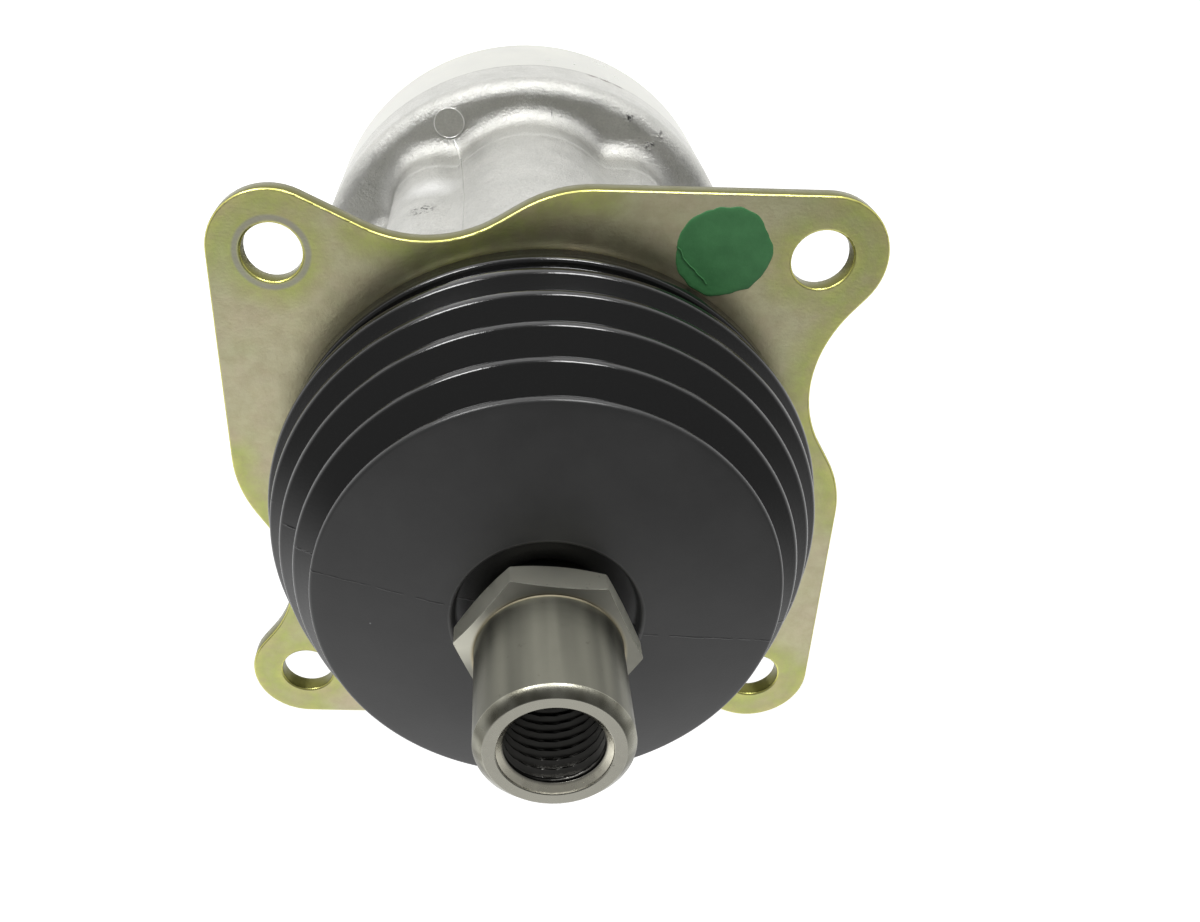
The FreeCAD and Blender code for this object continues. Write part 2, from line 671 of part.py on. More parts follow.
def boot():
    """Rubber bellows between the plate and the coupling, with a lip on each pleat."""
    lips = [(radius, TOP_LIP_Z - LIP_STEP * step) for step, radius in enumerate(LIP_RADII)]
    lip_top = GROOVE_Z + GROOVE_WIDTH - 0.1
    lip_low = GROOVE_Z + 0.1
    inner_lip = GROOVE_R + SOFT_GAP
    outside = [(BOOT_MOUTH_R - 0.5, lip_top), (BOOT_MOUTH_R, BOOT_TOP_Z)]
    inside = [(BOOT_MOUTH_R + BOOT_WALL, BOOT_TOP_Z - BOOT_WALL), (BOOT_MOUTH_R + 1, lip_low)]
    for radius, height in lips:
        outside += [(radius, height), (radius - PLEAT_DEPTH + BOOT_WALL, height - PLEAT_DROP)]
        crest = (radius - 1.4 * BOOT_WALL, height - 0.6 * BOOT_WALL)
        fold = (radius - PLEAT_DEPTH, height - PLEAT_DROP - 0.4 * BOOT_WALL)
        inside = [fold, crest] + inside
    outside += [(BEAD_R, BEAD_H), (BEAD_R, SOFT_GAP)]
    inner_bead = RETAINER_R + SOFT_GAP
    base = [(inner_bead, SOFT_GAP), (inner_bead, BEAD_H)]
    return turned((inner_lip, lip_low), (inner_lip, lip_top), *outside, *base, *inside)


def boot_retainer():
    """Steel ring on the plate that the boot is stretched over."""
    return ring(RETAINER_R, RETAINER_R - RETAINER_WALL, 0, BEAD_H)


def save(name, shape):
    """Write one sub-part."""
    shape.exportStep(os.path.join("parts", name + ".step"))


def main():
    os.makedirs("parts", exist_ok=True)
    single = [
        valve_body, port_block, block_seals, block_screws, locating_pins, mounting_plate,
        joint_base, joint_cross, joint_yoke, swash_disc, disc_lock_nut, lever_coupling,
        boot_retainer, boot,
    ]
    for make in single:
        save(make.__name__, make())
    save("base_bushes", bushes(0))
    save("yoke_bushes", bushes(90))
    repeated = [
        push_rod, guide_plug, plug_o_ring, rod_seal, spring_seat, return_spring,
        metering_spring, spool,
    ]
    for make in repeated:
        for number, shape in enumerate(ring_of(make(), ROD_PITCH_R), start=1):
            save("%s_%d" % (make.__name__, number), shape)


main()
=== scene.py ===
import json
import math

import bmesh
import bpy
import numpy as np
from mathutils import Matrix, Vector, noise
from mathutils.bvhtree import BVHTree


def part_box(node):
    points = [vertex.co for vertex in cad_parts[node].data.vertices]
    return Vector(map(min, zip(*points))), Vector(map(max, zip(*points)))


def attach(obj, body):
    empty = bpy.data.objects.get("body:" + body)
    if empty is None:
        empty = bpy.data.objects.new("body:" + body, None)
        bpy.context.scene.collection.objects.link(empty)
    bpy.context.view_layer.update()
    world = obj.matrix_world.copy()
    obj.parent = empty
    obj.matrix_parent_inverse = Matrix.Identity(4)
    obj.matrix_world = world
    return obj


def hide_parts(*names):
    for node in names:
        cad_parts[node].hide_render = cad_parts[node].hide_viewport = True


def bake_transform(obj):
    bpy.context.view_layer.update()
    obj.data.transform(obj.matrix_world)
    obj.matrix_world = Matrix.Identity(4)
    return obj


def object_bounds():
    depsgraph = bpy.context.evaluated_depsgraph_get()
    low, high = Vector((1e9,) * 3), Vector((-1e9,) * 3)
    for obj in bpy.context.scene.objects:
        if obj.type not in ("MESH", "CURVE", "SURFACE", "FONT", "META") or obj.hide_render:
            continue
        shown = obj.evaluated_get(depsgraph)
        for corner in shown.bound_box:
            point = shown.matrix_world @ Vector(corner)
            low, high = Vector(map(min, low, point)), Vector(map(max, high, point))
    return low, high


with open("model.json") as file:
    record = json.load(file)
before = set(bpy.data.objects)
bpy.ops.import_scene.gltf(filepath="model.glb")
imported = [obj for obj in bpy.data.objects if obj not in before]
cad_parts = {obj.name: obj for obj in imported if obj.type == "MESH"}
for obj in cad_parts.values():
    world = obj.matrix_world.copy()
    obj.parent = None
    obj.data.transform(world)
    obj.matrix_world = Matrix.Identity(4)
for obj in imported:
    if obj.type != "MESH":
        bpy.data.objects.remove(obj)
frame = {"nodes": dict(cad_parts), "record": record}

# Everything is in metres, in the frame of the CAD model. Sizes below are written in millimetres.
MM = 0.001
cad_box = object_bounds()

# Camera, solved from the photograph
PHOTO_WIDTH = 1200
PHOTO_HEIGHT = 922
FOCAL_PIXELS = 1122.8
AXIS_PIXEL = (493.8, 409.7)
CAMERA_PLACE = (-8.85, 100.91, 152.41)
CAMERA_RIGHT = (0.99989, 0.01508, 0.00089)
CAMERA_UP = (-0.01268, 0.8695, -0.49377)
SENSOR_WIDTH = 36.0

# Boot: the same lips as the CAD boot, with rounded rims and folds
LIP_RADII = (33.0, 36.0, 38.7, 40.9, 42.0)
TOP_LIP_Z = 29.7
LIP_STEP = 4.95
LIP_ABOVE = 0.25
LIP_BELOW = 1.0
RIM_ROUND = 0.85
RIM_UNDER_ROUND = 0.4
PLEAT_DEPTH = 2.9
PLEAT_DROP = 2.1
BOOT_WALL = 1.2
BOOT_TOP_Z = 33.0
BOOT_MOUTH_R = 13.1
BOOT_SEAM_Z = TOP_LIP_Z - 2 * LIP_STEP - PLEAT_DROP
GROOVE_LOW_Z = 29.3
GROOVE_TOP_Z = 30.95
GROOVE_R = 7.9
BEAD_R = 41.3
BEAD_TOP_Z = 3.8
BEAD_LOW_Z = 0.3
BEAD_INNER_R = 39.5
BEAD_ROUND = 1.4
BOOT_SIDES = 192
MOULD_TURN = math.radians(10.05)
DUST_PLACES = ((-27.7, -4.1, 30.95), (-24.4, -2.3, 31.4))

# Marks that the casting die left, the painted highlight on one lobe, and the rough, chipped and stained
# spots.
# The flash line's path is pairs of a height and a turn round the Z axis in degrees.
JOINT_Z = -93.5
WITNESS_Z = -69.0
FLANGE_TOP_Z = -79.6
MARK_PITCH_R = 41.2
MARK_ANGLE = 24.3
MARK_R = 3.1
MARK_HEIGHT = 0.3
MARK_SIDES = 40
RIDGE_R = 0.13
FLASH_PATH = ((-3.1, 111.2), (-47.0, 111.8), (-63.0, 113.3), (-72.0, 114.2), (-79.28, 115.2))
FLASH_STEPS = 40
SCAR_TOP_Z = -71.9
SCAR_R = 1.6 * RIDGE_R
PAINTED_HIGHLIGHT_SPOT = (-19.6, 31.3, -57.0)
ROUGH_SPOT = (-20.94, 31.0, -44.5)
DENTS = ((20.3, 39.2, -79.8), (27.0, 35.2, -80.8), (25.1, 33.3, -79.6))
SCRATCH = (4.25, 39.6, -79.6)
SCRATCH_SQUEEZE = (8.0, 1.0, 1.0)
JOINT_STAINS = ((13.3, 44.2, JOINT_Z), (16.2, 43.2, JOINT_Z), (18.9, 42.0, JOINT_Z))

# Plate edge, the ring that a washer wore round one hole, and the dab of green paint.
# A face whose normal has more than LEVEL_SHARE of its length along Z counts as level.
WORN_HOLE = (-40.0, 40.0, 0.0)
WORN_INNER_R = 5.6
WORN_OUTER_R = 6.0
HOLE_RIM_R = (4.75, 5.1)
PLATE_EDGE = 0.35
PLATE_GRID = 1.25
PLATE_RIM_STEP = 3.0
LEVEL_SHARE = 0.999
PAINT_PLACE = (25.35, 41.0)
PAINT_R = 7.25
PAINT_THICK = 0.12
PAINT_SIDES = 7
PAINT_CORNER = 0.525
PAINT_POINTS = 90
PAINT_CURL = ((18.59, 41.8), (19.2, 41.3), (19.62, 40.12), (20.76, 38.89), (21.5, 38.3), (21.91, 37.66),
              (22.87, 36.89), (23.39, 36.1))

# Lever coupling
HEX_AF = 22.0
HEX_TURN = math.radians(-5.16)
HEX_BACK_Z = 35.2
HEX_FRONT_Z = 39.7
HEX_CHAMFER = 0.9
HEX_FRONT_DROP = 0.27
HEX_EDGE = 0.02
# Centre of the painted highlight on one corner of the hexagon
HEX_HIGHLIGHT_CORNER = (-12.0, 2.5, 39.2)
SLEEVE_R = 9.9
SLEEVE_CHAMFER = 1.2
FOOT_R = 9.0
FOOT_H = 0.5
NECK_R = 7.6
NECK_H = 1.9
STUD_R = 6.0
THREAD_MINOR_R = 6.19
THREAD_MAJOR_R = 7.0
THREAD_PITCH = 1.5
THREAD_DEPTH = 16.0
THREAD_ROWS = 20
THREAD_START = 0.25
THREAD_RUN_OUT = 1.5
THREAD_FLAT = 0.125
MOUTH_R = 7.15

# How far below its foot a metering spring's blend would start; the spring loop carries it, but nothing
# uses it
SPOOL_BLEND = 0.2755

# Places of a mix node's colour sockets, which share their names with its number sockets
MIX_COLOUR_A = 6
MIX_COLOUR_B = 7
MIX_COLOUR_OUT = 2

# Light: which side of the room is bright, and how bright its sides, its horizon and the floor are
BRIGHT_SIDE = (-0.13, -0.92, 0.38)
ROOM_BRIGHT = 1.05
ROOM_DIM = 0.2
HORIZON_GLOW = 0.6
FLOOR_GLOW = 0.6
FLOOR_REACH = 2.0
LAMP_WIDTH = 0.30
LAMP_HEIGHT = 0.30
LAMP_POWER = 4.6
LAMP_LEFT = (-0.49, 0.86, 0.30)
LAMP_RIGHT = (0.205, 0.97, 0.30)


class Finish:
    """A material in the making: its node tree and short ways to add to it."""

    def __init__(self, name, bends=False):
        self.material = bpy.data.materials.new(name)
        self.material.use_nodes = True
        self.tree = self.material.node_tree
        self.tree.nodes.clear()
        output = self.add("ShaderNodeOutputMaterial")
        self.shader = self.add("ShaderNodeBsdfPrincipled")
        self.join(self.shader.outputs["BSDF"], output.inputs["Surface"])
        if bends:
            self.place = self.add("ShaderNodeAttribute", attribute_name="rest_place").outputs["Vector"]
        else:
            self.place = self.add("ShaderNodeTexCoord").outputs["Object"]

    def add(self, kind, **settings):
        """A new node of a kind, with its settings by name."""
        node = self.tree.nodes.new(kind)
        for key, value in settings.items():
            setattr(node, key, value)
        return node

    def join(self, out, into):
        self.tree.links.new(out, into)

    def give(self, socket, value):
        """Set an input to a number or colour, or join it to another node's output."""
        if isinstance(value, bpy.types.NodeSocket):
            self.join(value, socket)
        elif hasattr(value, "__len__") and len(value) == 3 and socket.type == "RGBA":
            socket.default_value = (*value, 1.0)
        else:
            socket.default_value = value

    def set(self, **values):
        """Set the shader's own inputs by name, with _ for a space."""
        for key, value in values.items():
            self.give(self.shader.inputs[key.replace("_", " ")], value)

    def noise(self, size_mm, detail=2.0, roughness=0.5, place=None):
        """Noise whose patches are about size_mm wide."""
        node = self.add("ShaderNodeTexNoise")
        self.join(place or self.place, node.inputs["Vector"])
        node.inputs["Scale"].default_value = 1.0 / (size_mm * MM)
        node.inputs["Detail"].default_value = detail
        node.inputs["Roughness"].default_value = roughness
        return node.outputs["Fac"]

    def span(self, value, low, high, to_low=0.0, to_high=1.0):
        """Map a value from one range to another, and stop at its ends."""
        node = self.add("ShaderNodeMapRange", clamp=True)
        for key, item in zip(("Value", "From Min", "From Max", "To Min", "To Max"),
                             (value, low, high, to_low, to_high)):
            self.give(node.inputs[key], item)
        return node.outputs["Result"]

    def maths(self, operation, first, second=0.0, third=0.0):
        """Sum, product or the like of numbers or outputs."""
        node = self.add("ShaderNodeMath", operation=operation)
        for socket, value in zip(node.inputs, (first, second, third)):
            self.give(socket, value)
        return node.outputs["Value"]

    def mix(self, share, first, second):
        """Colour that goes from the first to the second as share goes from 0 to 1."""
        node = self.add("ShaderNodeMix", data_type="RGBA")
        self.give(node.inputs["Factor"], share)
        self.give(node.inputs[MIX_COLOUR_A], first)
        self.give(node.inputs[MIX_COLOUR_B], second)
        return node.outputs[MIX_COLOUR_OUT]

    def turned_place(self):
        """Coordinates (radius, 0, height), which follow the lines that a lathe leaves."""
        split = self.add("ShaderNodeSeparateXYZ")
        self.join(self.place, split.inputs["Vector"])
        squared = self.maths("ADD", self.maths("MULTIPLY", split.outputs["X"], split.outputs["X"]),
                             self.maths("MULTIPLY", split.outputs["Y"], split.outputs["Y"]))
        joined = self.add("ShaderNodeCombineXYZ")
        self.join(self.maths("SQRT", squared), joined.inputs["X"])
        self.join(split.outputs["Z"], joined.inputs["Z"])
        return joined.outputs["Vector"]

    def part_of(self, output, axis):
        """The X, Y or Z of a vector."""
        split = self.add("ShaderNodeSeparateXYZ")
        self.join(output, split.inputs["Vector"])
        return split.outputs[axis]

    def height(self):
        return self.part_of(self.place, "Z")

    def mould_line(self):
        """1 on the thin line that the two halves of the mould left across the boot."""
        across = self.add("ShaderNodeVectorMath", operation="DOT_PRODUCT")
        self.join(self.place, across.inputs[0])
        across.inputs[1].default_value = (math.sin(MOULD_TURN), math.cos(MOULD_TURN), 0.0)
        wander = self.maths("MULTIPLY", self.maths("SUBTRACT", self.noise(3.0, 2.0), 0.5), 0.5 * MM)
        gap = self.maths("ABSOLUTE", self.maths("ADD", across.outputs["Value"], wander))
        worn = self.span(self.noise(3.0, 3.0, 0.6), 0.42, 0.55)
        return self.maths("MULTIPLY", worn, self.span(gap, 0.16 * MM, 0.07 * MM))

    def near(self, place, inner_mm, outer_mm, squeeze=(1.0, 1.0, 1.0)):
        """1 within inner_mm of a place given in millimetres, 0 beyond outer_mm, squeezed if asked."""
        squeezed = self.add("ShaderNodeVectorMath", operation="MULTIPLY")
        self.join(self.place, squeezed.inputs[0])
        squeezed.inputs[1].default_value = squeeze
        gap = self.add("ShaderNodeVectorMath", operation="DISTANCE")
        self.join(squeezed.outputs["Vector"], gap.inputs[0])
        gap.inputs[1].default_value = Vector(place) * Vector(squeeze) * MM
        return self.span(gap.outputs["Value"], outer_mm * MM, inner_mm * MM)

    def behind(self):
        """1 well behind the lever's axis, falling to 0.3 in front of it; it sets where the painted
        highlights on the coupling's root and the boot's mouth rim are strongest.
        """
        return self.span(self.part_of(self.place, "Y"), 2.0 * MM, -8.0 * MM, 0.3, 1.0)

    def brushed_round(self):
        """Stretch the highlights across the rings that a lathe leaves round the Z axis."""
        tangent = self.add("ShaderNodeTangent", direction_type="RADIAL", axis="Z")
        self.set(Tangent=tangent.outputs["Tangent"], Anisotropic=0.75)

    def bump(self, height, depth_mm, under=None):
        """Relief of about depth_mm, on top of another relief if one is given."""
        node = self.add("ShaderNodeBump")
        node.inputs["Strength"].default_value = 1.0
        node.inputs["Distance"].default_value = depth_mm * MM
        self.give(node.inputs["Height"], height)
        if under is not None:
            self.join(under, node.inputs["Normal"])
        return node.outputs["Normal"]


def cast_aluminium():
    """Die-cast skin: grainy, with a witness line round the column, a few rough spots and a painted
    highlight on one lobe.
    """
    made = Finish("cast_aluminium")
    patch = made.span(made.noise(9.0, 4.0, 0.6), 0.35, 0.65)
    grain = made.span(made.noise(0.45, 3.0, 0.7), 0.3, 0.7)
    speck = made.span(made.noise(0.7, 3.0, 0.7), 0.62, 0.72)
    colour = made.mix(patch, (0.52, 0.52, 0.488), (0.61, 0.605, 0.57))
    colour = made.mix(made.maths("MULTIPLY", grain, 0.45), colour, (0.36, 0.36, 0.35))
    colour = made.mix(made.maths("MULTIPLY", speck, 0.35), colour, (0.20, 0.20, 0.195))
    # Painted highlight: the casting is made paler round one point on the left lobe.
    colour = made.mix(made.near(PAINTED_HIGHLIGHT_SPOT, 1.0, 6.5), colour, (0.80, 0.80, 0.785))
    pits = made.maths("MULTIPLY", made.near(ROUGH_SPOT, 1.0, 3.2),
                      made.span(made.noise(0.8, 3.0, 0.7), 0.5, 0.56))
    colour = made.mix(pits, colour, (0.03, 0.03, 0.028))
    for place in DENTS:
        chipped = made.maths("MULTIPLY", made.near(place, 0.5, 1.3),
                             made.span(made.noise(0.9, 3.0, 0.7), 0.44, 0.56))
        colour = made.mix(chipped, colour, (0.05, 0.05, 0.048))
        pits = made.maths("MAXIMUM", pits, chipped)
    colour = made.mix(made.near(SCRATCH, 0.7, 1.2, SCRATCH_SQUEEZE), colour, (0.04, 0.04, 0.04))
    for place in JOINT_STAINS:
        colour = made.mix(made.near(place, 0.5, 1.7), colour, (0.10, 0.065, 0.05))
    joint = made.span(made.height(), (JOINT_Z + 0.35) * MM, (JOINT_Z + 0.05) * MM)
    colour = made.mix(joint, colour, (0.16, 0.16, 0.155))
    made.set(Base_Color=colour, Metallic=0.9)
    made.set(Roughness=made.span(made.noise(2.5, 4.0), 0.3, 0.7, 0.28, 0.41))
    waving = made.maths("ADD", made.height(), made.maths("MULTIPLY", made.noise(7.0, 2.0), 1.5 * MM))
    witness = made.span(waving, (WITNESS_Z - 0.7) * MM, (WITNESS_Z + 0.7) * MM, 1.0, 0.0)
    relief = made.bump(witness, 0.25)
    relief = made.bump(made.noise(6.0, 3.0), 0.3, relief)
    relief = made.bump(made.noise(0.6, 4.0, 0.7), 0.21, relief)
    made.set(Normal=made.bump(pits, 0.15, relief))
    return made.material


def bright_rim():
    """Bare metal where the die's ejectors and the trimmed flash left an edge, made much paler than the
    cast skin as a painted highlight on these ridges.
    """
    made = Finish("bright_rim")
    made.set(Base_Color=(0.92, 0.92, 0.90), Metallic=1.0, Roughness=0.3)
    made.set(Normal=made.bump(made.noise(0.5, 2.0), 0.05))
    return made.material


def turned_metal(name, light, dark, roughness, groove_mm, depth_mm, patch_mm=8.0):
    """Metal with the fine rings of a lathe tool and a little unevenness."""
    made = Finish(name)
    around = made.turned_place()
    line = made.noise(groove_mm, 2.0, 0.6, around)
    patch = made.noise(patch_mm, 4.0, 0.6)
    made.set(Base_Color=made.mix(made.span(patch, 0.35, 0.65), dark, light), Metallic=1.0)
    uneven = made.maths("MULTIPLY_ADD", patch, 0.15, roughness - 0.075)
    made.set(Roughness=uneven, Normal=made.bump(line, depth_mm))
    made.brushed_round()
    return made.material


def nickel_steel():
    """Turned steel of the coupling: streaky sleeve and dull hexagon, with painted light on the mouth, the
    hexagon's side flats, one corner, the root and the mouth's inner cone, and painted shade down the
    thread.
    """
    made = Finish("nickel_steel")
    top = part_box("lever_coupling")[1].z
    around = made.turned_place()
    radius = made.part_of(around, "X")
    height = made.height()
    flat = made.add("ShaderNodeVectorMath", operation="MULTIPLY")
    made.join(made.place, flat.inputs[0])
    flat.inputs[1].default_value = (1.0, 1.0, 0.06)
    streak = made.span(made.noise(2.6, 1.0, 0.5, flat.outputs["Vector"]), 0.36, 0.64)
    colour = made.mix(streak, (0.096, 0.095, 0.078), (0.142, 0.140, 0.114))
    hexagon = made.span(radius, (SLEEVE_R + 0.15) * MM, (SLEEVE_R + 0.4) * MM)
    mouth = made.span(height, top - (SLEEVE_CHAMFER + 0.08) * MM, top - SLEEVE_CHAMFER * MM)
    # Painted light: the end face and the chamfer are made paler than the sleeve.
    colour = made.mix(mouth, colour, (0.335, 0.327, 0.28))
    chamfer_r = SLEEVE_R - SLEEVE_CHAMFER
    # Painted highlights: streaky light and dark spots round the chamfer's outer part.
    painted_glint_band = made.maths("MULTIPLY", mouth, made.span(radius, chamfer_r * MM, (chamfer_r + 0.06) * MM))
    spots = made.mix(streak, (0.17, 0.165, 0.13), (0.33, 0.325, 0.27))
    colour = made.mix(painted_glint_band, colour, spots)
    colour = made.mix(hexagon, colour, (0.315, 0.31, 0.265))
    # Painted light: the hexagon's upright side flats are made pale, picked by the way they face.
    facing_up = made.part_of(made.add("ShaderNodeTexCoord").outputs["Normal"], "Z")
    painted_lit_flats = made.maths("MULTIPLY", hexagon, made.span(facing_up, 0.6, 0.4))
    colour = made.mix(painted_lit_flats, colour, (0.90, 0.89, 0.77))
    # Painted highlight round one hexagon corner.
    painted_highlight_corner = made.maths("MULTIPLY", hexagon, made.near(HEX_HIGHLIGHT_CORNER, 2.0, 6.0))
    colour = made.mix(painted_highlight_corner, colour, (0.70, 0.69, 0.59))
    # Painted highlight, tinted gold, along the root fillet, strongest behind the axis.
    above_front = made.maths("SUBTRACT", height, HEX_FRONT_Z * MM)
    root = made.maths("MULTIPLY", made.span(above_front, 0.4 * MM, 0.25 * MM),
                      made.span(above_front, -0.02 * MM, 0.06 * MM))
    colour = made.mix(made.maths("MULTIPLY", root, made.behind()), colour, (0.62, 0.54, 0.36))
    stain = made.span(made.noise(1.6, 3.0, 0.6), 0.66, 0.74)
    colour = made.mix(made.maths("MULTIPLY", stain, 0.35), colour, (0.07, 0.066, 0.05))
    # Painted shade down the bore below the mouth.
    bore_shade = made.maths("MULTIPLY", made.span(radius, (MOUTH_R - 0.03) * MM, (MOUTH_R - 0.09) * MM),
                         made.span(height, top - 0.8 * MM, top - 1.1 * MM))
    # Painted light on the mouth's inner cone.
    cone = made.maths("MULTIPLY", mouth, made.span(radius, (MOUTH_R - 0.01) * MM, (MOUTH_R - 0.05) * MM))
    colour = made.mix(cone, colour, (0.80, 0.77, 0.64))
    colour = made.mix(bore_shade, colour, (0.12, 0.118, 0.11))
    made.set(Base_Color=colour, Metallic=1.0)
    rough = made.maths("ADD", made.span(hexagon, 0.0, 1.0, 0.34, 0.52),
                       made.span(mouth, 0.0, 1.0, 0.0, -0.06))
    uneven = made.span(made.noise(1.5, 3.0, 0.6), 0.3, 0.7, -0.04, 0.04)
    made.set(Roughness=made.maths("ADD", rough, uneven))
    turned_lines = made.bump(made.noise(0.3, 2.0, 0.6, around), 0.003)
    made.set(Normal=made.bump(made.noise(0.5, 3.0, 0.6), 0.008, turned_lines))
    made.brushed_round()
    return made.material


def yellow_zinc():
    """Zinc plating: greener near the outline, blotched with pink and green, with painted shade on the
    walls and a painted highlight along the top edge.
    """
    made = Finish("yellow_zinc_steel")
    edge = made.add("ShaderNodeAttribute", attribute_name="edge_distance").outputs["Fac"]
    wander = made.maths("MULTIPLY_ADD", made.noise(5.0, 3.0, 0.6), 3.0, -1.5)
    inward = made.maths("ADD", edge, wander)
    ramp = made.add("ShaderNodeValToRGB")
    stops = ((0.0, (0.60, 0.61, 0.20)), (0.14, (0.49, 0.53, 0.18)), (0.27, (0.53, 0.54, 0.25)),
             (0.45, (0.575, 0.55, 0.345)), (1.0, (0.575, 0.54, 0.36)))
    for index, (place, colour) in enumerate(stops):
        stop = ramp.color_ramp.elements[index] if index < 2 else ramp.color_ramp.elements.new(place)
        stop.position = place
        stop.color = (*colour, 1.0)
    made.join(made.span(inward, 0.0, 12.0), ramp.inputs["Fac"])
    pink = made.span(made.noise(7.0, 4.0, 0.6), 0.45, 0.7)
    colour = made.mix(made.maths("MULTIPLY", pink, 0.45), ramp.outputs["Color"], (0.57, 0.44, 0.34))
    green = made.span(made.noise(11.0, 3.0), 0.5, 0.72)
    colour = made.mix(made.maths("MULTIPLY", green, 0.4), colour, (0.48, 0.54, 0.27))
    mottle = made.span(made.noise(2.2, 5.0, 0.7), 0.4, 0.62)
    colour = made.mix(made.maths("MULTIPLY", mottle, 0.35), colour, (0.43, 0.38, 0.22))
    worn = made.maths("SUBTRACT", made.near(WORN_HOLE, WORN_INNER_R, WORN_OUTER_R),
                      made.near(WORN_HOLE, *HOLE_RIM_R))
    colour = made.mix(made.maths("MULTIPLY", worn, 0.75), colour, (0.36, 0.35, 0.33))
    speck = made.span(made.noise(0.6, 3.0, 0.7), 0.66, 0.76)
    colour = made.mix(made.maths("MULTIPLY", speck, 0.4), colour, (0.22, 0.18, 0.11))
    grain = made.maths("ABSOLUTE", made.span(made.noise(0.35, 2.0, 0.6), 0.35, 0.65, -0.5, 0.5))
    colour = made.mix(made.maths("MULTIPLY", grain, 0.2), colour, (0.36, 0.34, 0.22))
    # Painted shade: the plate's walls are made dark olive.
    below = made.span(made.height(), -0.16 * MM, -0.3 * MM)
    colour = made.mix(below, colour, (0.13, 0.125, 0.03))
    # Painted highlight: a bright yellow band just under the top face, on the rounded edge.
    painted_edge_highlight = made.maths("MULTIPLY", made.span(made.height(), -0.03 * MM, -0.08 * MM),
                         made.span(made.height(), -0.22 * MM, -0.16 * MM))
    colour = made.mix(painted_edge_highlight, colour, (0.80, 0.77, 0.22))
    made.set(Base_Color=colour, Metallic=0.9)
    made.set(Roughness=made.span(made.noise(3.0, 4.0), 0.3, 0.7, 0.28, 0.38))
    made.set(Normal=made.bump(made.noise(0.5, 4.0, 0.65), 0.03))
    return made.material


def boot_rubber():
    """Glossy black lips, a duller grey top with the mould's line, and a painted highlight along the back
    of the mouth's rim.
    """
    made = Finish("boot_rubber", bends=True)
    on_top = made.span(made.height(), (TOP_LIP_Z - 0.5) * MM, (TOP_LIP_Z + 0.5) * MM)
    dust = made.span(made.noise(12.0, 5.0, 0.6), 0.35, 0.7)
    face = made.mix(dust, (0.022, 0.022, 0.022), (0.030, 0.030, 0.030))
    colour = made.mix(on_top, (0.006, 0.006, 0.006), face)
    colour = made.mix(made.maths("MULTIPLY", made.mould_line(), 0.75), colour, (0.004, 0.004, 0.004))
    for place in DUST_PLACES:
        colour = made.mix(made.near(place, 0.12, 0.22), colour, (0.28, 0.28, 0.28))
    # Painted highlight: a pale band on the mouth's rounded rim, strongest behind the axis.
    past_mouth = made.maths("SUBTRACT", made.part_of(made.turned_place(), "X"), BOOT_MOUTH_R * MM)
    painted_rim_highlight = made.maths("MULTIPLY", made.span(past_mouth, 0.5 * MM, 0.4 * MM),
                     made.span(made.height(), (BOOT_TOP_Z - 0.7) * MM, (BOOT_TOP_Z - 0.5) * MM))
    colour = made.mix(made.maths("MULTIPLY", painted_rim_highlight, made.behind()), colour, (0.085, 0.085, 0.083))
    made.set(Base_Color=colour)
    made.set(Roughness=made.span(on_top, 0.0, 1.0, 0.14, 0.42))
    made.set(Specular_IOR_Level=made.span(on_top, 0.0, 1.0, 0.72, 0.5))
    relief = made.bump(made.mould_line(), -0.08)
    made.set(Normal=made.bump(made.noise(0.35, 3.0, 0.6), 0.015, relief))
    return made.material


def dull_rubber():
    """Black rubber of the seals."""
    made = Finish("seal_rubber")
    made.set(Base_Color=made.mix(made.noise(2.0, 3.0), (0.012, 0.012, 0.012), (0.03, 0.03, 0.03)))
    made.set(Roughness=0.6, Normal=made.bump(made.noise(0.4, 3.0), 0.02))
    return made.material


def black_screw_steel():
    made = Finish("black_screw_steel")
    worn = made.span(made.noise(1.5, 4.0, 0.6), 0.6, 0.75)
    made.set(Base_Color=made.mix(worn, (0.03, 0.03, 0.033), (0.12, 0.12, 0.12)))
    made.set(Metallic=0.7, Roughness=0.42, Normal=made.bump(made.noise(0.5, 3.0), 0.02))
    return made.material


def green_paint():
    """Inspection paint, brushed on unevenly."""
    made = Finish("green_paint")
    patch = made.span(made.noise(3.5, 4.0, 0.6), 0.35, 0.7)
    made.set(Base_Color=made.mix(patch, (0.044, 0.185, 0.060), (0.062, 0.235, 0.080)))
    made.set(Roughness=0.55, Normal=made.bump(made.noise(0.8, 4.0, 0.6), 0.05))
    return made.material


def pale_floor():
    """White floor that glows a little, so that it stays white in the picture."""
    made = Finish("pale_floor")
    made.set(Base_Color=(0.9, 0.9, 0.9), Roughness=0.9)
    made.set(Emission_Color=(1.0, 1.0, 1.0), Emission_Strength=FLOOR_GLOW)
    return made.material


def make_finishes():
    """Materials by the names of the record's slots."""
    made = {
        "cast_aluminium": cast_aluminium(),
        "machined_aluminium": turned_metal(
            "machined_aluminium", (0.57, 0.57, 0.525), (0.51, 0.51, 0.475), 0.3, 0.25, 0.01),
        "yellow_zinc_steel": yellow_zinc(),
        "boot_rubber": boot_rubber(),
        "nickel_steel": nickel_steel(),
        "joint_steel": turned_metal(
            "joint_steel", (0.36, 0.36, 0.37), (0.29, 0.29, 0.30), 0.4, 0.2, 0.01),
        "hardened_steel": turned_metal(
            "hardened_steel", (0.56, 0.56, 0.57), (0.48, 0.48, 0.49), 0.22, 0.1, 0.004),
        "spring_steel": turned_metal(
            "spring_steel", (0.34, 0.34, 0.35), (0.24, 0.24, 0.25), 0.35, 0.5, 0.01),
        "black_screw_steel": black_screw_steel(),
        "seal_rubber": dull_rubber(),
        "bush_bronze": turned_metal(
            "bush_bronze", (0.66, 0.44, 0.2), (0.55, 0.36, 0.16), 0.4, 0.2, 0.01),
    }
    return made


